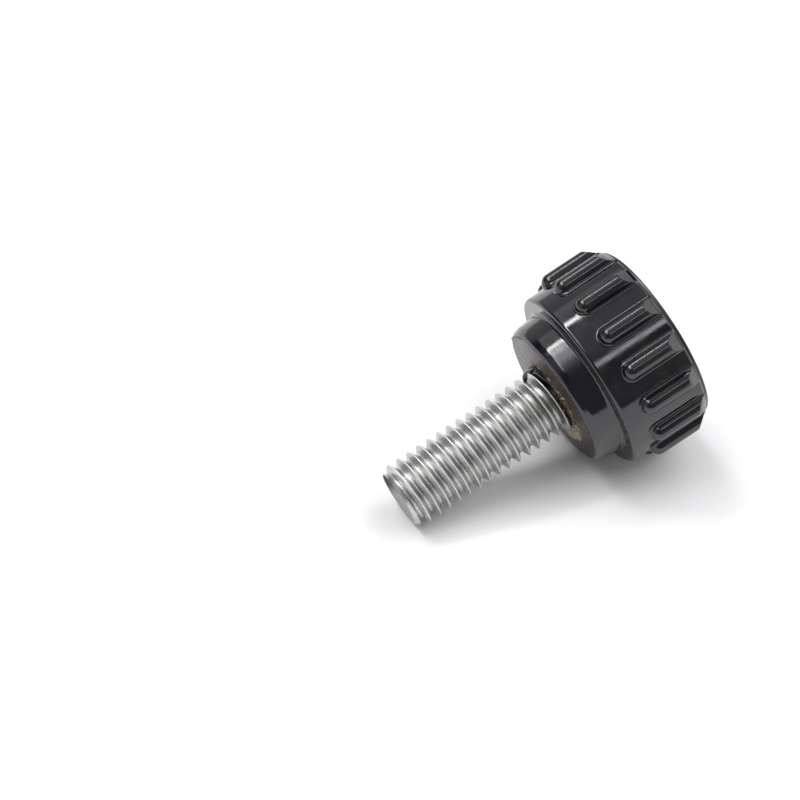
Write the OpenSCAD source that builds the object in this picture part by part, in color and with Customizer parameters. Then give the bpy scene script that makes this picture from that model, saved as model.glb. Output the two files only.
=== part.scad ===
// Thumb screw: a black moulded knob with a stepped collar and fifteen grip ribs,
// on a fully threaded steel stud. Millimetres.
// Each piece is drawn on its own axis (z = 0 at the end face of the collar, +z toward the
// knob's face, -z toward the tip) and then laid down as the screw rests by itself:
// on the tip of the thread and on the noses of two neighbouring ribs.

/* [Knob] */
// Diameter over the crests of the ribs
knob_d = 18.0; // [17.6:0.1:19]
// Height from the collar's end face to the rim of the knob's face
knob_h = 10.2; // [9.4:0.1:12]
// Diameter of the barrel between the ribs, at the shoulder
barrel_d = 16.2; // [15.4:0.1:16.6]
// Draft of the barrel and of the rib crests, per side
draft = 0.3; // [0:0.1:0.6]
// Radius of the rounding along the shoulder's edge
shoulder_r = 0.3; // [0.1:0.05:0.5]
// Height of the face disc above the end of the barrel
disc_h = 0.32; // [0.15:0.01:0.6]
// Diameter of the face disc
disc_d = 15.9; // [14.6:0.1:15.9]
// Rise of the domed face at its centre
dome_h = 0.15; // [0.05:0.05:0.5]

/* [Collar] */
// Diameter of the collar at its foot on the shoulder
collar_d = 13.3; // [10:0.1:14]
// Length from the collar's end face to the shoulder
collar_h = 2.5; // [2:0.1:3]
// Width of the rounded chamfer round the end face
collar_c = 0.55; // [0.2:0.05:0.8]
// Length of the same chamfer along the axis
collar_cl = 0.7; // [0.3:0.05:1.2]
// Fillet between collar and shoulder
collar_f = 0.35; // [0.1:0.05:0.5]

/* [Ribs] */
// Number of half-round grip ribs
rib_n = 15; // [9:2:21]
// Width of a rib
rib_w = 1.56; // [1.3:0.02:1.8]
// Fillet between a rib and the barrel
rib_f = 0.25; // [0.1:0.05:0.3]
// Where the round nose of a rib begins, from the collar's end face
nose_z = 4.29; // [3.9:0.01:5]
// Where the end chamfer starts on the crest, from the collar's end face
bevel_z = 8.7; // [7.6:0.1:9.1]

/* [Stud] */
// Nominal thread diameter, over the rolled crests
thread_d = 5.86; // [5.7:0.02:5.98]
// Thread pitch
pitch = 1.0; // [0.75:0.25:1]
// Diameter at the root of the thread
root_d = 4.64; // [4.5:0.02:4.78]
// Length of the stud below the collar
stud_l = 15.6; // [8:0.1:30]
// Diameter of the flat tip
tip_d = 4.94; // [4.8:0.02:5.4]
// Length of the chamfer at the tip
tip_c = 0.8; // [0.4:0.1:1.2]
// Depth the stud is moulded into the knob
embed = 6.0; // [4:0.5:7]

/* [Root of the stud] */
// Diameter of the bead of resin round the stud, on the collar's face
bead_d = 6.7; // [6.3:0.1:7.6]
// Height of the bead
bead_h = 0.4; // [0.2:0.05:0.6]

/* [Hidden] */
$fn = 96;
seg = 32;                                    // thread facets in one turn
barrel_r = barrel_d / 2;
barrel_top = knob_h - disc_h;                // height of the barrel's end plane
barrel_top_r = barrel_r + (barrel_top - collar_h) * tan(draft);
disc_r = disc_d / 2;
disc_edge = 0.14;
collar_r = collar_d / 2;
collar_face_r = collar_r - 0.15 - collar_c;
crest_r = knob_d / 2;
root_r = root_d / 2;
shank_r = root_r - 0.02;                     // plain core inside the moulding
thread_r = thread_d / 2;
rib_r = rib_w / 2;
rib_c = crest_r - rib_r;                     // radius of a rib's centre line
nose_c = nose_z + rib_r;                     // height of its nose's centre

// rest pose: the tip's last full crest and the noses of two ribs touch the floor
tip_len = stud_l - tip_c * 0.74;
tip_touch = tip_d / 2 + (thread_r - tip_d / 2) * 0.74;
rib_half = 180 / rib_n;
rest_dr = rib_c * cos(rib_half) - tip_touch;
rest_dz = nose_c + tip_len;
tilt = atan(rest_dr / rest_dz) + asin(rib_r / norm([rest_dr, rest_dz]));
axis_h = rib_c * cos(rib_half) * cos(tilt) - nose_c * sin(tilt) + rib_r;
x_tip = -stud_l * cos(tilt) - tip_d / 2 * sin(tilt);
x_face = (knob_h - disc_edge) * cos(tilt) + disc_r * sin(tilt) + 0.09;
x_mid = (x_tip + x_face) / 2;

black = [0.045, 0.045, 0.050];
steel = [0.62, 0.62, 0.63];

// points of an arc, from angle a0 to a1
function arc(cx, cy, rx, ry, a0, a1, n = 6) =
    [for (i = [0:n]) let (a = a0 + (a1 - a0) * i / n) [cx + rx * cos(a), cy + ry * sin(a)]];

// half section of a rib: half width and radius, from inside the barrel up to the crest
rib_foot = asin(max(0.17, (barrel_r + rib_f - rib_c) / rib_r));
rib_side = rib_r * cos(rib_foot);
rib_section = concat(
    [[rib_side + rib_f + 0.03, barrel_r - 0.3], [rib_side + rib_f + 0.02, barrel_r - 0.04],
     [rib_side + rib_f * 0.29, barrel_r + rib_f * 0.29]],
    [for (a = [for (i = [0:3]) rib_foot + (70 - rib_foot) * i / 3, 84])
        [rib_r * cos(a), rib_c + rib_r * sin(a)]]
);

// one level of a rib: a long loop with a round nose; round = 1 follows the barrel
function rib_loop(w, r, round, n) = [
    for (p = concat([[w, knob_h]],
        [for (i = [0:n]) let (a = 90 + 180 * i / n) [w * sin(a), nose_c + w * cos(a)]],
        [[-w, knob_h]]))
    [r + (p[1] - nose_c) * tan(draft) - round * (r - sqrt(r * r - p[0] * p[0])), p[0], p[1]]
];

module rib(n = 10) {
    m = n + 3;
    last = len(rib_section) - 1;
    polyhedron(
        points = [for (k = [0:last])
            each rib_loop(rib_section[k][0], rib_section[k][1], k < 3 ? 1 : 0, n)],
        faces = concat(
            [[for (i = [m - 1:-1:0]) i]],
            [[for (i = [0:m - 1]) last * m + i]],
            [for (k = [0:last - 1]) for (i = [0:m - 1]) let (
                a = k * m + i, b = k * m + (i + 1) % m) each [[a, b, a + m], [b, b + m, a + m]]]
        )
    );
}

// half section of the knob without its ribs
module knob_section() {
    polygon(concat(
        [[0, 0], [collar_face_r, 0]],
        arc(collar_face_r, collar_cl, collar_c, collar_cl, -75, 0, 4),
        arc(collar_r + collar_f, collar_h - collar_f, collar_f, collar_f, 180, 90, 3),
        arc(barrel_r - shoulder_r, collar_h + shoulder_r, shoulder_r, shoulder_r, -90, 0, 3),
        [[barrel_top_r, barrel_top - 0.14], [barrel_top_r - 0.12, barrel_top]],
        [[disc_r, barrel_top]],
        arc(disc_r - disc_edge, knob_h - disc_edge, disc_edge, disc_edge, 0, 84, 2),
        [for (i = [3:-1:0]) let (r = disc_r * 0.93 * i / 3) [r, knob_h + dome_h * (1 - pow(i / 3.25, 2))]]
    ));
}

module bead() {
    translate([0, 0, -bead_h]) cylinder(h = bead_h + 0.3, r1 = bead_d / 2 - 0.3, r2 = bead_d / 2 + 0.22);
}

module knob_on_axis() {
    difference() {
        union() {
            rotate_extrude() knob_section();
            bead();
            intersection() {
                union() for (k = [0:rib_n - 1]) rotate([0, 0, rib_half * (2 * k + 1)]) rib();
                union() {
                    translate([0, 0, 3]) cylinder(h = bevel_z - 3, r = crest_r + 0.5);
                    translate([0, 0, bevel_z - 0.605])
                        cylinder(h = barrel_top - 0.04 - bevel_z + 0.605, r1 = crest_r + 0.5,
                                 r2 = crest_r + 0.5 - (barrel_top - 0.04 - bevel_z + 0.605) * 0.826);
                }
            }
        }
        translate([0, 0, -1]) cylinder(h = embed + 1, r = shank_r);
    }
}

// radius of the chamfered envelope at depth z
function envelope(z) = min(thread_r, tip_d / 2 + (z + stud_l) * (thread_r - tip_d / 2) / tip_c);

// The thread is one closed surface. Each meridian has four break points for every turn
// (foot, crest edge, crest edge, foot), and after a full turn they meet the next turn's.
crest_f = pitch / 8;                         // flat of a crest
flank = (thread_r - root_r) * tan(30);
start_z = -1.349 * pitch - 307.6 / 360 * pitch;   // a crest's height at angle 0
k_low = floor((-stud_l - start_z) / pitch) - 3;
k_high = ceil((-bead_h - start_z) / pitch) + 2;
rows = 4 * (k_high - k_low + 1);
per = rows + 2;                              // points on a meridian, with the two end points

function crest_z(k, c) = start_z + (k + c / seg) * pitch;
function break_pt(row, c) = let (
        q = row % 4,
        zc = crest_z(k_low + floor(row / 4), c),
        r0 = max(envelope(zc), root_r + 0.03),
        half = crest_f / 2 + (thread_r - r0) * tan(30),
        side = q < 2 ? -1 : 1
    ) q == 0 || q == 3 ? [zc + side * (crest_f / 2 + flank), root_r]
                       : [zc + side * half, max(envelope(zc + side * half), root_r + 0.03)];
// radius of the thread at height z on a meridian, for the two end planes
function cut_r(z, c) = let (
        u = (z - crest_z(0, c)) / pitch,
        v = abs(u - round(u)) * pitch - crest_f / 2
    ) max(root_r, min(envelope(z), thread_r - max(v, 0) / tan(30)));
// vertex number of a break point; those beyond an end plane fall on that plane's point
function vid(row, c) =
    c >= seg ? vid(row + 4, c - seg) :
    row >= rows ? c * per + rows + 1 :
    let (z = break_pt(row, c)[0])
    z < 0.015 - stud_l ? c * per + rows :
    z > -bead_h - 0.015 ? c * per + rows + 1 : c * per + row;

module thread() {
    quads = [for (c = [0:seg - 1]) for (r = [0:rows - 2])
        [vid(r, c), vid(r + 1, c), vid(r, c + 1), vid(r + 1, c + 1)]];
    tris = [for (q = quads) each [[q[0], q[1], q[2]], [q[2], q[1], q[3]]]];
    polyhedron(
        points = [for (c = [0:seg - 1]) let (a = 360 * c / seg) each concat(
            [for (r = [0:rows - 1]) let (p = break_pt(r, c)) [p[1] * cos(a), p[1] * sin(a), p[0]]],
            [for (z = [-stud_l, -bead_h]) let (q = cut_r(z, c)) [q * cos(a), q * sin(a), z]])],
        faces = concat(
            [for (t = tris) if (t[0] != t[1] && t[1] != t[2] && t[0] != t[2]) t],
            [[for (c = [seg - 1:-1:0]) c * per + rows + 1]],
            [[for (c = [0:seg - 1]) c * per + rows]])
    );
}

module stud_on_axis() {
    thread();
    translate([0, 0, -bead_h - 0.5]) cylinder(h = bead_h + 0.5 + embed, r = shank_r);
}

// lays a piece down from its own axis to the rest pose, and centres the pair over the origin
module laid() {
    translate([-x_mid, 0, axis_h]) rotate([0, 90 - tilt, 0]) children();
}

module knob() {
    color(black) laid() knob_on_axis();
}

module threaded_stud() {
    color(steel) laid() stud_on_axis();
}

knob();
threaded_stud();
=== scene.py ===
"""Looks of the thumb screw: camera, light, white floor, and finer surfaces for the knob and the stud.

Lengths are in millimetres unless a name says otherwise. Every surface is made on the screw's own axis, with
z = 0 at the collar's end face, +z toward the knob's face and -z toward the tip, and is then laid down.
"""
import math

import bmesh
import bpy
import numpy as np
from mathutils import Matrix, Vector


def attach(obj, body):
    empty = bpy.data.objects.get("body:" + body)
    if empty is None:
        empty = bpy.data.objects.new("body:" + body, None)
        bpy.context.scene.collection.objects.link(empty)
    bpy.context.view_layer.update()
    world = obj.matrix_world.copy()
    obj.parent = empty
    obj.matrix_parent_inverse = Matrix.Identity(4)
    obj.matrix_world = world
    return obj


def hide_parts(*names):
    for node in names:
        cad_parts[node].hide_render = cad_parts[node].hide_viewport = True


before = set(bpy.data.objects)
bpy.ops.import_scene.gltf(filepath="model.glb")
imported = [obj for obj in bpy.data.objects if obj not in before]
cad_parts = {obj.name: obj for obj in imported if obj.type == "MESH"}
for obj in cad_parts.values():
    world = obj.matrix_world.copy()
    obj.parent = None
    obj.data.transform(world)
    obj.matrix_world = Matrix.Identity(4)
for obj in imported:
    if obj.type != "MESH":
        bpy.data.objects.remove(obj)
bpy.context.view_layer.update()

MM, MICRON = 1e-3, 1e-6                                  # in metres
TURN = 2 * math.pi

# ---- the part's sizes, as in its source
KNOB_D, KNOB_H = 18.0, 10.2                              # over the ribs; collar's end face to the face's rim
BARREL_D, SHOULDER_R = 16.2, 0.3                         # at the shoulder; the rounding of its edge
TAN_DRAFT = math.tan(math.radians(0.3))                  # barrel and crests widen toward the face
DISC_D, DISC_H, DISC_EDGE, DOME_H = 15.9, 0.32, 0.14, 0.15
COLLAR_D, COLLAR_H, COLLAR_TAPER = 13.3, 2.5, 0.15
COLLAR_C, COLLAR_CL, COLLAR_F = 0.55, 0.7, 0.35          # chamfer's width and length; fillet at the shoulder
RIB_N, RIB_W, RIB_F = 15, 1.56, 0.25                     # the ribs, their width, the fillet at their feet
NOSE_Z, BEVEL_Z, BEVEL_SLOPE = 4.29, 8.7, 0.826          # where nose and end bevel begin; the bevel's slope
THREAD_D, ROOT_D, PITCH = 5.86, 4.64, 1.0
TAN_FLANK = math.tan(math.radians(30))
THREAD_START = (-1.349 - 307.6 / 360) * PITCH            # a crest's height at angle 0
STUD_L, TIP_D, TIP_C = 15.6, 4.94, 0.8                   # length, the flat tip, the length of its chamfer
TIP_SHARE = 0.74                                         # how far up the chamfer the floor is touched
BEAD_H = 0.4
FACE_REACH = 0.09                                        # the rounded rim of the face past its end point

BARREL_R, BARREL_TOP = BARREL_D / 2, KNOB_H - DISC_H
BARREL_TOP_R = BARREL_R + (BARREL_TOP - COLLAR_H) * TAN_DRAFT
DISC_R, COLLAR_R = DISC_D / 2, COLLAR_D / 2
FACE_R = COLLAR_R - COLLAR_TAPER - COLLAR_C              # the collar's flat face
CREST_R, RIB_R = KNOB_D / 2, RIB_W / 2
RIB_C, NOSE_C = CREST_R - RIB_R, NOSE_Z + RIB_R          # a rib's centre line; the centre of its nose
THREAD_R, ROOT_R, TIP_R = THREAD_D / 2, ROOT_D / 2, TIP_D / 2
HALF = math.pi / RIB_N                                   # from a rib's middle to the middle of a flute

# the rest pose: the tip's last crest and the noses of two ribs touch the floor
TOUCH_R = TIP_R + (THREAD_R - TIP_R) * TIP_SHARE
LIFT, SPAN = RIB_C * math.cos(HALF) - TOUCH_R, NOSE_C + STUD_L - TIP_C * TIP_SHARE
TILT = math.atan(LIFT / SPAN) + math.asin(RIB_R / math.hypot(LIFT, SPAN))
SIN, COS = math.sin(TILT), math.cos(TILT)
AXIS_H = RIB_C * math.cos(HALF) * COS - NOSE_C * SIN + RIB_R
X_TIP = -STUD_L * COS - TIP_R * SIN
X_FACE = (KNOB_H - DISC_EDGE) * COS + DISC_R * SIN + FACE_REACH
X_MID = (X_TIP + X_FACE) / 2


def turned(p):
    """directions from a piece's own axis to the rest pose"""
    return np.stack([p[..., 0] * SIN + p[..., 2] * COS, p[..., 1], -p[..., 0] * COS + p[..., 2] * SIN], -1)


def lay(p):
    """points from a piece's own axis to the rest pose"""
    return turned(p) + (-X_MID, 0.0, AXIS_H)


# ---- the knob's form
def rounded(corners, steps):
    """corners (r, z, radius) -> outline points (r, z) and outward normals; the material is on the left"""
    points = [np.array(c[:2], float) for c in corners]
    last = len(points) - 1
    out, normals = [], []
    for i, corner in enumerate(corners):
        radius = corner[2] if len(corner) > 2 else 0
        if i in (0, last) or radius <= 0:
            d = points[min(i + 1, last)] - points[max(i - 1, 0)]
            d = d / np.hypot(*d)
            out.append(points[i])
            normals.append([d[1], -d[0]])
            continue
        back, ahead = points[i - 1] - points[i], points[i + 1] - points[i]
        room = min(np.hypot(*back), np.hypot(*ahead)) * 0.499      # two roundings can share an edge
        back, ahead = back / np.hypot(*back), ahead / np.hypot(*ahead)
        half = math.acos(max(-1, min(1, float(back @ ahead)))) / 2
        reach = min(radius / math.tan(half), room)
        radius = reach * math.tan(half)
        centre = points[i] + (back + ahead) / np.hypot(*(back + ahead)) * radius / math.sin(half)
        begin, end = points[i] + back * reach - centre, points[i] + ahead * reach - centre
        a0, a1 = math.atan2(begin[1], begin[0]), math.atan2(end[1], end[0])
        sweep = (a1 - a0 + math.pi) % TURN - math.pi
        side = 1 if sweep > 0 else -1
        for k in range(steps + 1):
            a = a0 + sweep * k / steps
            out.append(centre + radius * np.array([math.cos(a), math.sin(a)]))
            normals.append([side * math.cos(a), side * math.sin(a)])
    return np.array(out), np.array(normals)


def fillet(d1, d2, f):
    """union of two distances with a round fillet of radius f"""
    u, v = np.maximum(f - d1, 0), np.maximum(f - d2, 0)
    return np.maximum(np.minimum(d1, d2), f) - np.hypot(u, v)


def edge(d1, d2, f):
    """the part inside both, with a round edge of radius f"""
    return -fillet(-d1, -d2, f)


CHAMFER_H, CHAMFER_OUT, CHAMFER_UP, CHAMFER_EDGE = 0.14, 0.76, 0.65, 0.04    # at the barrel's end, and its normal
BEVEL_OUT, BEVEL_EDGE = 0.771, 0.06                                         # the ribs' end cone, its normal
BISECTIONS, MARGIN_IN, MARGIN_OUT = 34, 0.6, 0.3
NUDGE = 0.004                                                               # for slopes by differences


def grip(r, phi, z):
    """signed distance of the barrel with its ribs; phi is measured from the nearest rib's middle"""
    x, y = r * np.cos(phi), r * np.sin(phi)
    barrel = r - (BARREL_R + (z - COLLAR_H) * TAN_DRAFT)
    chamfer = (z - (BARREL_TOP - CHAMFER_H)) * CHAMFER_UP + (r - BARREL_TOP_R) * CHAMFER_OUT
    below, above = np.minimum(z - NOSE_C, 0), np.maximum(z - NOSE_C, 0)
    rib = np.sqrt(np.maximum(x - RIB_C - above * TAN_DRAFT, 0) ** 2 + y * y + below * below) - RIB_R
    cone = (r - CREST_R + (z - BEVEL_Z) * BEVEL_SLOPE) * BEVEL_OUT
    return fillet(edge(barrel, chamfer, CHAMFER_EDGE), edge(rib, cone, BEVEL_EDGE), RIB_F)


def grip_radius(phi, z):
    """the radius at which grip() is zero, by bisection"""
    lo = np.full(np.broadcast(phi, z).shape, BARREL_R - MARGIN_IN)
    hi = np.full(lo.shape, CREST_R + MARGIN_OUT)
    for _ in range(BISECTIONS):
        mid = (lo + hi) / 2
        inside = grip(mid, phi, z) < 0
        lo, hi = np.where(inside, mid, lo), np.where(inside, hi, mid)
    return (lo + hi) / 2


# columns of points: arc lengths from a rib's middle, on a circle of this radius
COLUMNS = [0, .1, .2, .3, .38, .46, .53, .59, .64, .68, .71, .735, .755, .775, .80, .83, .87, .92, .98, 1.05,
           1.15, 1.3, 1.5]
COLUMN_R = 8.2
# rows of points: below the middle of a nose, then up the barrel, then over the bevel and the end
NOSE_ROWS = [1.16, 1.1, 1.03, .97, .92, .87, .84, .81, .79, .77, .75, .72, .69, .65, .6, .54, .47, .4, .3, .2, .1,
             0]
BARREL_ROWS = [6, 7, 8, 8.4, 8.6, 8.64, 8.67, 8.7, 8.73, 8.76, 8.8]
END_ROWS = [*np.linspace(8.86, 9.62, 14), 9.66, 9.7, 9.73, 9.76, 9.79, 9.82, 9.85, BARREL_TOP]
# outlines (r, z, rounding) of what is round: collar and shoulder below the ribs, the disc above them
COLLAR_LINE = [(2.2, 0), (FACE_R, 0, 0.10), (FACE_R + 0.34, 0.11, 0.5), (COLLAR_R - COLLAR_TAPER, COLLAR_CL, 0.9),
               (COLLAR_R, COLLAR_H, COLLAR_F), (BARREL_R, COLLAR_H, SHOULDER_R), (BARREL_R + 0.008, COLLAR_H + 1.2)]
COLLAR_KEEP = COLLAR_H + 0.9                             # the ribbed rows go on from here
DISC_LINE = [(BARREL_TOP_R - 0.12, BARREL_TOP), (DISC_R - 0.03, BARREL_TOP, 0.03), (DISC_R, KNOB_H, 0.13),
             (DISC_R * 0.93, KNOB_H + DOME_H * 0.18, 0.3), (DISC_R * 0.6, KNOB_H + DOME_H * 0.66, 0),
             (DISC_R * 0.3, KNOB_H + DOME_H * 0.93, 0), (0.001, KNOB_H + DOME_H, 0)]
COARSE = 3                                               # round parts use every third column


def bridge(rings):
    """faces between rings (first point, number of points) whose numbers are equal or differ by COARSE"""
    faces = []
    for (s0, n0), (s1, n1) in zip(rings[:-1], rings[1:]):
        if n0 == n1:
            i = np.arange(n0)
            j = (i + 1) % n0
            faces += np.stack([s0 + i, s0 + j, s1 + j, s1 + i], -1).tolist()
        elif n1 > n0:
            for c in range(n0):
                many = [s1 + (COARSE * c + k) % n1 for k in range(COARSE + 1)]
                faces.append([s0 + c, s0 + (c + 1) % n0] + many[::-1])
        else:
            for c in range(n1):
                many = [s0 + (COARSE * c + k) % n0 for k in range(COARSE + 1)]
                faces.append(many + [s1 + (c + 1) % n1, s1 + c])
    return faces


def knob_mesh():
    """points, normals and faces from the collar's face over the shoulder and the ribbed barrel to the dome"""
    side = np.concatenate([np.array(COLUMNS) / COLUMN_R, [HALF]])        # the last one is midway between ribs
    one = np.concatenate([-side[:0:-1], side[:-1]])                      # from -HALF to just before +HALF
    phi = np.tile(one, RIB_N)
    every = np.concatenate([one + HALF * (2 * k + 1) for k in range(RIB_N)])
    some = every[::COARSE]
    verts, normals, rings = [], [], []

    def ring(a, r, z, n_out, n_up, n_round):
        """points at the angles a, their normal given as parts out, up the axis and round it"""
        rings.append((sum(map(len, verts)), len(a)))
        verts.append(np.stack([r * np.cos(a), r * np.sin(a), np.broadcast_to(z, a.shape)], -1))
        d = np.stack([n_out * np.cos(a) - n_round * np.sin(a), n_out * np.sin(a) + n_round * np.cos(a),
                      np.broadcast_to(n_up, a.shape)], -1)
        normals.append(d / np.linalg.norm(d, axis=1)[:, None])

    for (r, z), (n_out, n_up) in zip(*rounded(COLLAR_LINE, 6)):
        if z < COLLAR_KEEP:
            ring(some, r, z, n_out, n_up, 0.0)
    rows = np.concatenate([[COLLAR_H + 0.75, COLLAR_H + 1.2], NOSE_C - np.array(NOSE_ROWS), BARREL_ROWS, END_ROWS])
    z, a = np.meshgrid(rows, phi, indexing="ij")
    r, h = grip_radius(a, z), NUDGE
    n_out = (grip(r + h, a, z) - grip(r - h, a, z)) / (2 * h)
    n_round = (grip(r, a + h / 8, z) - grip(r, a - h / 8, z)) / (h / 4) / r
    n_up = (grip(r, a, z + h) - grip(r, a, z - h)) / (2 * h)
    for i, row in enumerate(rows):
        ring(every, r[i], row, n_out[i], n_up[i], n_round[i])
    outline, slopes = rounded(DISC_LINE, 5)
    for (r, z), (n_out, n_up) in zip(outline[1:], slopes[1:]):
        ring(some, r, z, n_out, n_up, 0.0)
    return np.concatenate(verts), np.concatenate(normals), bridge(rings)


# ---- the stud's form
COLS = 96                                                # points in one turn
LAND, LAND_EDGE = 0.035, 0.025                           # half a crest's flat; the radius of its edges
LAND_STEPS, FLANK_STEPS, ROOT_STEPS = 3, 6, 7
ROUNDING = math.radians(60)                              # how far a crest's edge and a root turn
CAD_LAND = PITCH / 16                                    # half a crest's flat in the solid
STUD_END = 0.15 - BEAD_H                                 # the surface ends inside the resin
TINY = 1e-9


def thread_profile():
    """(height, radius) over one pitch, the crest at 0, from one root's middle to just before the next"""
    foot = LAND + (THREAD_R - ROOT_R) * TAN_FLANK        # where the flank would meet the root's cylinder
    round_r = (PITCH / 2 - foot) / TAN_FLANK
    half = [(0.0, THREAD_R)]
    for k in range(LAND_STEPS + 1):
        g = ROUNDING * k / LAND_STEPS
        half.append((LAND - LAND_EDGE * TAN_FLANK + LAND_EDGE * math.sin(g), THREAD_R - LAND_EDGE * (1 - math.cos(g))))
    root = []
    for k in range(ROOT_STEPS, -1, -1):
        g = ROUNDING * k / ROOT_STEPS
        root.append((PITCH / 2 - round_r * math.sin(g), ROOT_R + round_r * (1 - math.cos(g))))
    (u0, r0), (u1, r1) = half[-1], root[0]
    half += [(u0 + (u1 - u0) * k / FLANK_STEPS, r0 + (r1 - r0) * k / FLANK_STEPS) for k in range(1, FLANK_STEPS)]
    half += root
    return np.array([(-u, r) for u, r in half[:0:-1]] + half[:-1])


def envelope(z):
    """radius of the stud's outside with its chamfered tip"""
    return np.minimum(THREAD_R, TIP_R + (z + STUD_L) * (THREAD_R - TIP_R) / TIP_C)


def stud_mesh():
    """points and faces of the thread as one helical surface, cut flat at the tip and inside the resin"""
    profile = thread_profile()
    a = TURN * np.arange(COLS) / COLS
    first = math.floor((-STUD_L - THREAD_START) / PITCH) - 2
    last = math.ceil((0.6 - THREAD_START) / PITCH) + 1
    crest = THREAD_START + (np.arange(first, last + 1)[:, None, None] + np.arange(COLS) / COLS) * PITCH
    z = crest + profile[:, 0, None]
    r = np.minimum(profile[:, 1, None], envelope(z)).reshape(-1, COLS)
    z = z.reshape(-1, COLS)
    z0, z1 = -STUD_L, STUD_END

    def cut_radius(height):
        turns = (height - THREAD_START) / PITCH - a / TURN
        off = np.abs(turns - np.round(turns)) * PITCH - CAD_LAND
        return np.clip(THREAD_R - np.maximum(off, 0) / TAN_FLANK, ROOT_R, envelope(height))

    r = np.where(z < z0, cut_radius(z0), np.where(z > z1, cut_radius(z1), r))
    z = np.clip(z, z0, z1)
    verts = np.stack([r * np.cos(a), r * np.sin(a), z], -1).reshape(-1, 3)
    faces = []
    for i in range(len(z) - 1):
        for c in range(COLS):
            j = i + len(profile) if c == COLS - 1 else i     # after a full turn it goes on one pitch further
            if j + 1 >= len(z):
                continue
            d = (c + 1) % COLS
            ids = [i * COLS + c, (i + 1) * COLS + c, (j + 1) * COLS + d, j * COLS + d]
            heights = verts[ids, 2]
            if np.ptp(heights) > TINY or z0 + TINY < heights[0] < z1 - TINY:
                faces.append(ids[::-1])
    tip = len(verts)
    verts = np.concatenate([verts, [[0, 0, z0]]])
    return verts, faces + [[tip, (c + 1) % COLS, c] for c in range(COLS)]


def close_up(mesh):
    """joins the points that the cuts brought together and turns every face outward"""
    bm = bmesh.new()
    bm.from_mesh(mesh)
    bmesh.ops.remove_doubles(bm, verts=bm.verts, dist=1e-8)
    bmesh.ops.delete(bm, geom=[v for v in bm.verts if not v.link_faces], context="VERTS")
    bmesh.ops.recalc_face_normals(bm, faces=bm.faces)
    bm.to_mesh(mesh)
    bm.free()


# ---- resin round the stud's root: a black ring with a drop at its upper side, a dry pale crust, and a curl
# of flash on the collar's rim. The tables give a size at angles in degrees; angle 0 points down.
RESIN_H = [(0, 0.16), (60, 0.30), (92, 0.36), (104, 0.75), (116, 1.32), (128, 1.40), (140, 1.05), (152, 0.62),
           (180, 0.50), (196, 0.26), (250, 0.20), (300, 0.15)]
RESIN_R = [(0, 3.25), (60, 3.3), (92, 3.35), (104, 3.38), (118, 3.28), (140, 3.16), (160, 3.12), (186, 3.18),
           (200, 3.14), (232, 3.15), (256, 3.22), (276, 3.35), (300, 3.2)]
RESIN_IN, RESIN_SINK, RESIN_STEPS, RESIN_FULL = 2.25, 0.03, 12, 0.75
RESIN_H_RIPPLE, RESIN_R_RIPPLE = ((17, 29, 43), 0.03), ((23, 37, 61), 0.05)     # waves in a turn, depth
RESIN_H_STRENGTH = [(0, 1), (90, 0), (180, 0.2), (200, 1)]                      # of the ripple
RESIN_R_STRENGTH = [(0, 1), (90, 0.2), (180, 0.2), (200, 1)]
CRUST_R = [(0, 4.35), (8, 3.9), (20, 3.1), (236, 3.05), (262, 3.30), (272, 3.50), (281, 3.78), (294, 3.95),
           (313, 4.15), (328, 4.18), (343, 4.25), (352, 4.45)]
CRUST_IN, CRUST_LEAST, CRUST_SINK, CRUST_EDGE = 2.5, 2.6, 0.02, 0.03
CRUST_FROM, CRUST_OVER = 3.0, 1.2                        # the crust gets its thickness over this reach
CRUST_SEED, CRUST_CHIPS, CRUST_RIPPLE = 3, 0.42, ((31, 47), 0.10)
CRUST_ROWS = [(0.55, 0.15, (19, 41)), (0.85, 0.10, (27, 53))]               # share of the reach, height, waves
CRUST_ROOT_H, CRUST_WAVE_H = 0.16, 0.04
FLASH = [(0, 0), (112, 0), (122, 1.6), (134, 1.3), (146, 0.6), (153, 0)]
# its outlines: radius past the flat face and what the swell adds to it, height and what the swell adds to it
FLASH_ROWS = [(-0.12, 0, 0.02, 0), (-0.02, 0, 0.02, -0.11), (0.10, 0.05, 0.03, -0.10), (0.16, 0.02, 0.06, 0)]
ROUND = 288                                              # points in one turn
ANGLE = TURN * np.arange(ROUND) / ROUND


def around(table):
    """a value at every ANGLE from (degrees, value) pairs"""
    d = np.array([p[0] for p in table], float)
    values = [p[1] for p in table]
    return np.interp(np.degrees(ANGLE) % 360, np.concatenate([d, d[:1] + 360]), values + values[:1])


def ripple(waves, depth):
    return depth * sum(np.sin(k * ANGLE + 1.7 * k * k) for k in waves) / len(waves)


def ring_mesh(rings):
    """points and faces of a ring from its outlines (radius, height), each a number or a value at every ANGLE"""
    verts = np.concatenate([np.stack([r * np.cos(ANGLE), r * np.sin(ANGLE), z + 0 * ANGLE], -1) for r, z in rings])
    faces = [[i * ROUND + c, (i + 1) * ROUND + c, (i + 1) * ROUND + (c + 1) % ROUND, i * ROUND + (c + 1) % ROUND]
             for i in range(len(rings) - 1) for c in range(ROUND)]
    return verts, faces


def resin_mesh():
    height = around(RESIN_H) + ripple(*RESIN_H_RIPPLE) * around(RESIN_H_STRENGTH)
    reach = around(RESIN_R) + ripple(*RESIN_R_RIPPLE) * around(RESIN_R_STRENGTH)
    quarter = [math.pi / 2 * k / RESIN_STEPS for k in range(RESIN_STEPS + 1)]
    return ring_mesh([(RESIN_IN + (reach - RESIN_IN) * math.sin(g) ** RESIN_FULL,
                       RESIN_SINK - (height + RESIN_SINK) * math.cos(g) ** RESIN_FULL) for g in quarter])


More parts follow.
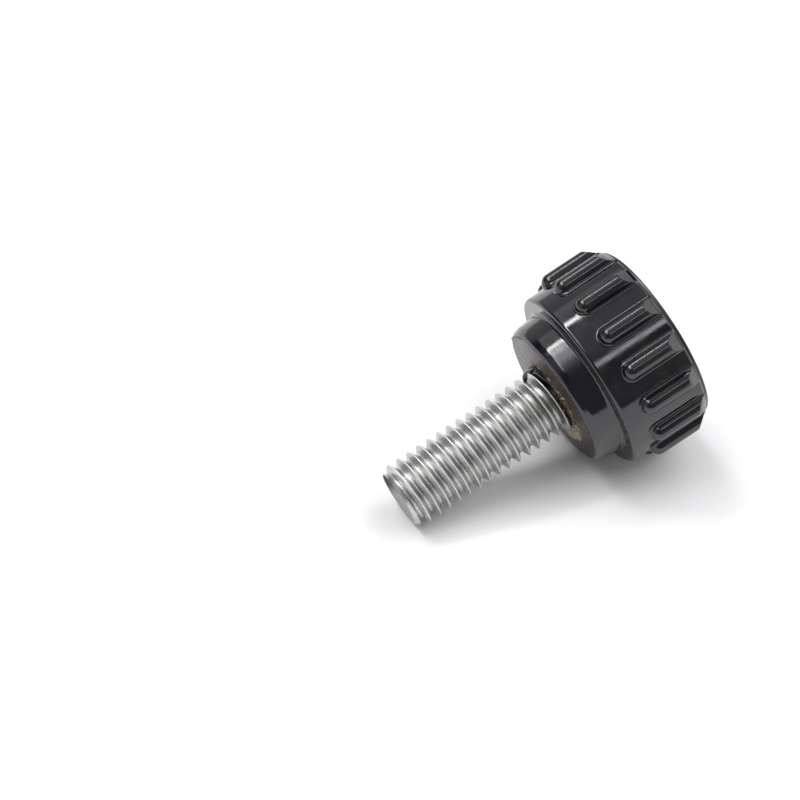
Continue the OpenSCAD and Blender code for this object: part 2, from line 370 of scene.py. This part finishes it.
def crust_mesh():
    chips = np.random.default_rng(CRUST_SEED).normal(0, CRUST_CHIPS, ROUND)
    chips = (np.roll(chips, 1) + 2 * chips + np.roll(chips, -1)) / 4
    reach = np.maximum(around(CRUST_R) + ripple(*CRUST_RIPPLE) + chips, CRUST_LEAST) - CRUST_IN
    thick = np.clip((reach + CRUST_IN - CRUST_FROM) / CRUST_OVER, 0, 1)
    rows = [(CRUST_IN + 0 * reach, CRUST_SINK - CRUST_ROOT_H * thick)]
    for share, height, waves in CRUST_ROWS:
        rows.append((CRUST_IN + reach * share, CRUST_SINK - (height + ripple(waves, CRUST_WAVE_H)) * thick))
    return ring_mesh(rows + [(CRUST_IN + reach, CRUST_EDGE)])


def flash_mesh():
    swell = around(FLASH)
    return ring_mesh([(FACE_R + r + more * swell, z + rise * swell) for r, more, z, rise in FLASH_ROWS])


# ---- short calls for materials and pieces
class Nodes:
    """builds a node tree; a value is a number, a tuple or another node's socket"""

    def __init__(self, owner):
        owner.use_nodes = True
        self.tree = owner.node_tree

    def put(self, socket, value):
        if isinstance(value, bpy.types.NodeSocket):
            self.tree.links.new(value, socket)
        elif value is not None:
            socket.default_value = value

    def add(self, kind, *ins, **named):
        n = self.tree.nodes.new("ShaderNode" + kind)
        for key, value in named.items():
            setattr(n, key, value)
        for socket, value in zip(n.inputs, ins):
            self.put(socket, value)
        return n

    def math(self, op, *ins):
        return self.add("Math", *ins, operation=op).outputs[0]

    def plus(self, first, *rest):
        for value in rest:
            first = self.math("ADD", first, value)
        return first

    def minus(self, a, b):
        return self.math("SUBTRACT", a, b)

    def times(self, first, *rest):
        for value in rest:
            first = self.math("MULTIPLY", first, value)
        return first

    def most(self, first, *rest):
        for value in rest:
            first = self.math("MAXIMUM", first, value)
        return first

    def step(self, value, lo, hi, a=0.0, b=1.0):
        """goes smoothly from a at lo to b at hi"""
        return self.add("MapRange", value, lo, hi, a, b, interpolation_type="SMOOTHSTEP").outputs[0]

    def fall(self, value, lo, hi):
        return self.step(value, lo, hi, 1.0, 0.0)

    def window(self, value, a, b, c, d):
        """0 below a, 1 from b to c, 0 above d"""
        return self.times(self.step(value, a, b), self.fall(value, c, d))

    def mix(self, factor, a, b):
        n = self.add("Mix", data_type="RGBA")
        for socket, value in ((n.inputs[0], factor), (n.inputs[6], a), (n.inputs[7], b)):
            self.put(socket, (*value, 1) if isinstance(value, tuple) else value)
        return n.outputs[2]

    def noise(self, vector, scale, detail, w=None):
        n = self.add("TexNoise", noise_dimensions="3D" if w is None else "4D")
        for name, value in (("Vector", vector), ("Scale", scale), ("Detail", detail), ("W", w)):
            if value is not None:
                self.put(n.inputs[name], value)
        return n.outputs["Fac"]

    def bump(self, height, microns, normal=None):
        n = self.add("Bump")
        for name, value in (("Height", height), ("Distance", microns * MICRON), ("Strength", 1.0), ("Normal", normal)):
            self.put(n.inputs[name], value)
        return n.outputs[0]

    def own_axis(self):
        """x, y and z on the screw's own axis in millimetres, and the three as one vector"""
        metres = self.add("TexCoord").outputs["Object"]
        xyz = []
        for direction, shift in (((SIN, 0, -COS), X_MID * SIN + AXIS_H * COS), ((0, 1, 0), 0.0),
                                 ((COS, 0, SIN), X_MID * COS - AXIS_H * SIN)):
            dot = self.add("VectorMath", metres, tuple(k / MM for k in direction), operation="DOT_PRODUCT")
            xyz.append(self.plus(dot.outputs["Value"], shift))
        return (*xyz, self.add("CombineXYZ", *xyz).outputs[0])

    def hypot(self, a, b):
        return self.math("SQRT", self.plus(self.times(a, a), self.times(b, b)))


def material(name, color=(0.8, 0.8, 0.8), rough=0.5, metal=0.0, specular=0.5):
    m = bpy.data.materials.new(name)
    tree = Nodes(m)
    shader = m.node_tree.nodes["Principled BSDF"]
    for key, value in (("Base Color", (*color, 1)), ("Roughness", rough), ("Metallic", metal),
                       ("Specular IOR Level", specular)):
        tree.put(shader.inputs[key], value)
    return m, tree, shader


def mesh_object(name, verts, faces, mat, normals=None, smooth=True):
    me = bpy.data.meshes.new(name)
    me.from_pydata((np.asarray(verts) * MM).tolist(), [], [list(map(int, f)) for f in faces])
    me.update()
    me.polygons.foreach_set("use_smooth", [smooth] * len(me.polygons))
    if normals is not None:
        me.normals_split_custom_set_from_vertices(normals.tolist())
    ob = bpy.data.objects.new(name, me)
    bpy.context.scene.collection.objects.link(ob)
    me.materials.append(mat)
    return ob


def put_on(piece, node):
    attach(piece, "root")
    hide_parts(node)


# ---- materials; a grain is the scale per millimetre and the detail of a noise, a bump is in microns
BLACK, FILM = (0.0042, 0.0032, 0.0085), (0.011, 0.009, 0.007)
# the face's grey is real dust and also a painted sheen on its +y side
FACE_DARK, FACE_GREY_DUST_AND_SHEEN, FACE_BROWN = (0.008, 0.008, 0.0075), (0.330, 0.330, 0.315), (0.150, 0.095, 0.045)
BEVEL_DULL = (0.050, 0.047, 0.042)
KNOB_GRAIN = dict(broad=(0.9, 3.0), fine=(8.0, 4.0), stain=(2.2, 5.0), dust_and_sheen=(6.5, 4.0), film=(0.45, 2.0),
                  pores=(6.0, 4.0), skin=(1.5, 2.0), dull=(4.0, 5.0))
MARKS_GRAIN = (8.0, 4.0)
KNOB_BUMP = dict(skin=3.0, fine=2.4, marks=1.3, dull=60.0)
FACE_Z, FACE_EDGE = (0.03, 0.10), (FACE_R + 0.05, FACE_R + 0.22)                 # where the collar's face ends
BEVEL_OFF, BEVEL_FROM = (0.02, 0.06), (BEVEL_Z + 0.22, BEVEL_Z + 0.36)           # where a rib's end bevel ends
BEVEL_FOOT = (BARREL_TOP_R + 0.10, BARREL_TOP_R + 0.20)
COLLAR_Z = (0.15, 0.5, 2.0, 2.4)
STAIN_R, STAIN_Y, DUST_AND_SHEEN_Y = (3.5, 4.9), (1.0, 3.5), (0.0, 4.5)                    # the stain thins out toward +y; the grey dust, partly a painted sheen, thins out toward -y
KNOB_GLOSS, KNOB_SPECULAR = (0.09, 0.14), 0.8
HANDLED_RIBS, HANDLED_RIM, DULLNESS = 0.07, 0.25, 0.26   # added to the roughness
COLLAR_MARKS = 4.0                                       # how much stronger the marks are on the collar
PORE_LOSS = (0.78, 0.55)                                 # specular level lost in the pores, across the face


def knob_material():
    """gloss black moulding; the collar's face is porous, stained and grey with dust that is also a painted sheen
    toward +y; the ribs' bevels are dull
    """
    m, t, shader = material("knob_black", specular=KNOB_SPECULAR)
    lx, ly, lz, place = t.own_axis()
    radius = t.hypot(lx, ly)
    grain = {name: t.noise(place, *values) for name, values in KNOB_GRAIN.items()}

    # where the collar's face, the bevels and the collar's side are
    on_face = t.times(t.fall(lz, *FACE_Z), t.fall(radius, *FACE_EDGE))
    off_cone = t.math("ABSOLUTE", t.plus(t.minus(radius, CREST_R), t.times(t.minus(lz, BEVEL_Z), BEVEL_SLOPE)))
    ragged = t.plus(lz, t.times(grain["fine"], 0.5))
    on_bevel = t.times(t.fall(off_cone, *BEVEL_OFF), t.step(ragged, *BEVEL_FROM), t.step(radius, *BEVEL_FOOT))
    on_collar = t.window(lz, *COLLAR_Z)
    dull = t.most(on_face, on_bevel)

    # colour
    stain = t.times(t.step(grain["stain"], 0.40, 0.58), t.step(radius, *STAIN_R, 1.0, 0.1),
                    t.step(ly, *STAIN_Y, 1.0, 0.25))
    # painted sheen: the grey dust grows toward +y and makes that side of the face lighter; its grain is real dust
    dust_and_sheen = t.times(t.step(grain["dust_and_sheen"], 0.34, 0.66), t.step(ly, *DUST_AND_SHEEN_Y, 0.08, 1.0))
    film = t.times(t.step(grain["film"], 0.45, 0.65), t.step(grain["fine"], 0.35, 0.6, 0.3, 1.0))
    face = t.mix(stain, t.mix(dust_and_sheen, FACE_DARK, FACE_GREY_DUST_AND_SHEEN), FACE_BROWN)
    color = t.mix(on_face, t.mix(film, BLACK, FILM), face)
    t.put(shader.inputs["Base Color"], t.mix(on_bevel, color, BEVEL_DULL))

    # shine
    gloss = t.step(grain["broad"], 0.35, 0.7, *KNOB_GLOSS)
    ribs = t.times(t.step(radius, BARREL_TOP_R + 0.3, CREST_R - 0.1), HANDLED_RIBS)
    rim = t.step(lz, BARREL_TOP - 0.05, BARREL_TOP + 0.05, 0.0, HANDLED_RIM)
    t.put(shader.inputs["Roughness"], t.plus(gloss, t.most(ribs, rim), t.times(dull, DULLNESS)))
    pores = t.times(on_face, t.fall(grain["pores"], 0.41, 0.57), t.step(ly, 0.0, 4.0, *PORE_LOSS))
    t.put(shader.inputs["Specular IOR Level"], t.minus(KNOB_SPECULAR, pores))

    # relief; the marks run round the axis
    about = t.add("CombineXYZ", lz, radius, t.times(t.math("ARCTAN2", ly, lx), 0.5)).outputs[0]
    marks = t.times(t.noise(about, *MARKS_GRAIN), t.plus(1.0, t.times(on_collar, COLLAR_MARKS)))
    normal = t.bump(grain["skin"], KNOB_BUMP["skin"])
    normal = t.bump(grain["fine"], KNOB_BUMP["fine"], normal)
    normal = t.bump(marks, KNOB_BUMP["marks"], normal)
    normal = t.bump(t.times(grain["dull"], dull), KNOB_BUMP["dull"], normal)
    t.put(shader.inputs["Normal"], normal)
    return m


RESIN_BLACK, RESIN_BROWN, RESIN_AMBER = (0.0030, 0.0032, 0.0028), (0.016, 0.011, 0.007), (0.22, 0.160, 0.100)
RESIN_ROUGH, RESIN_GRAIN, RESIN_BUMP = 0.06, (7.0, 4.0), 16.0
AMBER_TURN = (6.0, 26.0, 150.0, 175.0)                   # in degrees from the top
CRUST_BROWN, CRUST_PALE = (0.12, 0.095, 0.055), (0.50, 0.44, 0.31)
CRUST_ROUGH, CRUST_SPECULAR, CRUST_GRAIN, CRUST_BUMP = 0.7, 0.35, (6.0, 5.0), 60.0
FLASH_ROUGH = 0.3


def resin_material():
    """wet black resin, with amber flecks on its -y side"""
    m, t, shader = material("resin", rough=RESIN_ROUGH)
    lx, ly, _, place = t.own_axis()
    turn = t.times(t.math("ARCTAN2", t.times(ly, -1.0), t.times(lx, -1.0)), 180 / math.pi)   # degrees from the top
    amber = t.window(turn, *AMBER_TURN)
    flecks = t.noise(place, *RESIN_GRAIN)
    warm = t.mix(t.step(flecks, 0.47, 0.60), RESIN_BROWN, RESIN_AMBER)
    t.put(shader.inputs["Base Color"], t.mix(amber, RESIN_BLACK, warm))
    t.put(shader.inputs["Normal"], t.bump(t.times(flecks, t.plus(amber, 0.15)), RESIN_BUMP))
    return m


def crust_material():
    m, t, shader = material("resin_crust", rough=CRUST_ROUGH, specular=CRUST_SPECULAR)
    crumbs = t.noise(t.own_axis()[3], *CRUST_GRAIN)
    t.put(shader.inputs["Base Color"], t.mix(t.step(crumbs, 0.36, 0.52), CRUST_BROWN, CRUST_PALE))
    t.put(shader.inputs["Normal"], t.bump(crumbs, CRUST_BUMP))
    return m


# the last steel colour is a painted highlight on the crests
STEEL, STEEL_DULL, STEEL_CREST_GLINT = (0.66, 0.66, 0.65), (0.38, 0.38, 0.37), (0.85, 0.85, 0.85)
# the tip's flat end: its pale colour, and a painted shade for one side
END_PALE, END_PAINTED_SHADE = (0.40, 0.40, 0.395), (0.06, 0.06, 0.058)
BRUSH_R, BRUSH_GRAIN, SPECK_GRAIN = 7.0, (1.6, 4.0), (12.0, 3.0)
STEEL_GLOSS, END_ROUGH, STEEL_STRETCH = (0.32, 0.27), 0.3, 0.7
BRUSH_BUMP, SPECK_BUMP = 1.5, 0.9
CREST_GLINT_R = (THREAD_R - 0.045, THREAD_R - 0.012)            # the crests, made pale as a painted highlight
END_Z, END_EDGE = (-STUD_L + 0.01, -STUD_L + 0.05), (TIP_R - 0.12, TIP_R - 0.03)


def steel_material():
    """rolled thread, brushed along the helix; its crests are whitened as a painted highlight, and its dull tip has a
    painted shade on one side
    """
    m, t, shader = material("stud_steel", metal=1.0)
    lx, ly, lz, place = t.own_axis()
    radius = t.hypot(lx, ly)
    phase = t.minus(t.times(lz, TURN / PITCH), t.math("ARCTAN2", ly, lx))      # the same all along the helix
    across = t.add("CombineXYZ", t.times(t.math("COSINE", phase), BRUSH_R), t.times(t.math("SINE", phase), BRUSH_R),
                   t.plus(t.times(lx, 0.35), t.times(lz, 0.8))).outputs[0]
    brush = t.noise(across, *BRUSH_GRAIN, t.plus(t.times(ly, 0.35), t.times(lz, -0.45)))
    speck = t.noise(place, *SPECK_GRAIN)

    # where the crests and the flat end are, and their colour and shine
    shade = t.plus(brush, t.times(t.minus(speck, 0.5), 0.8))
    # painted highlight: the crests turn a pale, partly non-metallic white so they read bright from every side
    crest_glint = t.times(t.step(radius, *CREST_GLINT_R), t.step(speck, 0.30, 0.50, 0.35, 1.0))
    base = t.mix(crest_glint, t.mix(t.step(shade, 0.36, 0.62), STEEL_DULL, STEEL), STEEL_CREST_GLINT)
    cut = t.times(t.fall(lz, *END_Z), t.fall(radius, *END_EDGE))
    # painted shade: the flat end darkens toward +y and -x
    painted_end_shade = t.step(t.plus(t.minus(t.times(ly, 0.8), t.times(lx, 0.6)), speck), 0.8, 2.2)
    t.put(shader.inputs["Base Color"], t.mix(cut, base, t.mix(painted_end_shade, END_PALE, END_PAINTED_SHADE)))
    # the painted highlight on the crests and the painted shade on the end are made partly non-metallic
    plain = t.plus(t.times(crest_glint, 0.7), t.times(cut, t.step(painted_end_shade, 0.0, 1.0, 0.45, 1.0)))
    t.put(shader.inputs["Metallic"], t.minus(1.0, plain))
    t.put(shader.inputs["Roughness"], t.plus(t.step(brush, 0.35, 0.65, *STEEL_GLOSS), t.times(cut, END_ROUGH)))
    t.put(shader.inputs["Specular IOR Level"], t.minus(0.5, t.times(cut, 0.4)))

    # relief, and reflections stretched across the hoops of the thread
    t.put(shader.inputs["Normal"], t.bump(brush, BRUSH_BUMP, t.bump(speck, SPECK_BUMP)))
    normal = t.add("NewGeometry").outputs["Normal"]
    hoop = t.add("VectorMath", (COS, 0.0, SIN), normal, operation="CROSS_PRODUCT").outputs[0]
    t.put(shader.inputs["Tangent"], hoop)
    t.put(shader.inputs["Anisotropic"], STEEL_STRETCH)
    return m


FLOOR_WHITE, FLOOR_SEEN, FLOOR_ROUGH, FLOOR_HALF = 0.76, 1.0, 0.9, 900


def floor_material():
    """white; the camera and reflections see it a little whiter than it is for bounced light"""
    m, t, shader = material("floor_white", (FLOOR_WHITE,) * 3, FLOOR_ROUGH, 0.0, 0.0)
    seen = t.add("BsdfDiffuse", (FLOOR_SEEN, FLOOR_SEEN, FLOOR_SEEN, 1))
    path = t.add("LightPath").outputs
    shown = t.most(path["Is Camera Ray"], path["Is Glossy Ray"], path["Is Transmission Ray"])
    both = t.add("MixShader", shown, shader.outputs[0], seen.outputs[0])
    t.put(m.node_tree.nodes["Material Output"].inputs[0], both.outputs[0])
    return m


# ---- the pieces
points, normals, faces = knob_mesh()
put_on(mesh_object("knob_surface", lay(points), faces, knob_material(), turned(normals)), "knob")
for name, (points, faces), mat in (("resin_ring", resin_mesh(), resin_material()),
                                   ("resin_crust", crust_mesh(), crust_material()),
                                   ("rim_flash", flash_mesh(), material("flash", BLACK, FLASH_ROUGH)[0])):
    put_on(mesh_object(name, lay(points), faces, mat), "knob")
points, faces = stud_mesh()
stud = mesh_object("thread_surface", lay(points), faces, steel_material())
close_up(stud.data)
stud.data.set_sharp_from_angle(angle=math.radians(28))
put_on(stud, "threaded_stud")
corners = [(-FLOOR_HALF, -FLOOR_HALF, 0), (FLOOR_HALF, -FLOOR_HALF, 0), (FLOOR_HALF, FLOOR_HALF, 0),
           (-FLOOR_HALF, FLOOR_HALF, 0)]
mesh_object("floor", corners, [[0, 1, 2, 3]], floor_material(), None, False)

# ---- light: a studio that is dim on the camera's side and brighter behind and to the right
AMBIENT, TINT = 0.03, (0.99, 0.985, 1, 1)
LOBES = [  # azimuth, elevation, cosine where the glow begins and where it is full, level
    (88, 12, 0.80, 0.97, 0.45),
    (172, 20, 0.81, 0.95, 0.52),
    (250, 20, 0.60, 0.95, 0.15),
    (330, 20, 0.60, 0.95, 0.85),
]
# tubes and panels in the ceiling; u and v are where a direction meets a ceiling one unit up
CEILING = [  # window in u, window in v, level
    ((-0.82, -0.66, 0.00, 0.10), (0.495, 0.54, 0.595, 0.64), 17.0),     # the tube behind
    ((-0.78, -0.45, -0.28, -0.10), (-0.15, 0.12, 0.50, 0.56), 2.6),     # its glow on the ceiling, on the tip's side
    ((-0.58, -0.42, -0.28, -0.16), (0.18, 0.36, 0.50, 0.56), 6.0),
    ((-0.84, -0.68, -0.38, -0.22), (-0.35, -0.10, 0.15, 0.35), 2.7),
    ((-0.45, -0.10, 0.20, 0.35), (-0.70, -0.20, 0.30, 0.50), 0.45),     # overhead and over the head
    ((0.10, 0.40, 1.10, 1.60), (-0.60, -0.40, 0.50, 0.80), 2.3),
    ((-0.80, -0.50, 0.30, 0.60), (0.64, 0.80, 1.20, 1.60), 0.8),
    ((-0.15, -0.11, 0.50, 0.80), (-0.70, -0.655, -0.59, -0.53), 4.0),   # the tube on the camera's side
]
HORIZON = 0.02                                           # the least rise at which the ceiling is met


def toward(az, el):
    az, el = math.radians(az), math.radians(el)
    return (math.cos(el) * math.cos(az), math.cos(el) * math.sin(az), math.sin(el))


scene = bpy.context.scene
scene.world = bpy.data.worlds.new("world")
t = Nodes(scene.world)
t.tree.nodes.clear()
look = t.add("TexCoord").outputs["Generated"]
level = AMBIENT
for az, el, begin, full, glow in LOBES:
    dot = t.add("VectorMath", look, toward(az, el), operation="DOT_PRODUCT").outputs["Value"]
    level = t.plus(t.step(dot, begin, full, 0.0, glow), level)
x, y, z = t.add("SeparateXYZ", look).outputs
up = t.most(z, HORIZON)
u, v = t.math("DIVIDE", x, up), t.math("DIVIDE", y, up)
for in_u, in_v, glow in CEILING:
    level = t.plus(t.times(t.window(u, *in_u), t.window(v, *in_v), glow), level)
studio = t.add("Background", TINT, level)
white = t.add("Background", (1, 1, 1, 1), 1.0)
both = t.add("MixShader", t.add("LightPath").outputs["Is Camera Ray"], studio.outputs[0], white.outputs[0])
t.add("OutputWorld", both.outputs[0])

# ---- camera, in metres; the eye is placed from where the screw's axis meets the collar's end face
EYE = Vector((-X_MID * MM, 0, AXIS_H * MM)) + Vector((-0.089561, -0.126328, 0.153833))
FORWARD = Vector((0.35976, 0.60889, -0.70699)).normalized()
RIGHT = FORWARD.cross(Vector((0.35275, 0.61272, 0.70720))).normalized()
UP = RIGHT.cross(FORWARD)
optics = bpy.data.cameras.new("camera")
optics.sensor_fit = "HORIZONTAL"
optics.sensor_width, optics.lens = 36, 117.0             # in millimetres
optics.clip_start, optics.clip_end = 0.01, 20
camera = bpy.data.objects.new("camera", optics)
scene.collection.objects.link(camera)
camera.matrix_world = Matrix(((RIGHT.x, UP.x, -FORWARD.x, EYE.x), (RIGHT.y, UP.y, -FORWARD.y, EYE.y),
                              (RIGHT.z, UP.z, -FORWARD.z, EYE.z), (0, 0, 0, 1)))
scene.camera = camera
scene.view_settings.view_transform = "Standard"
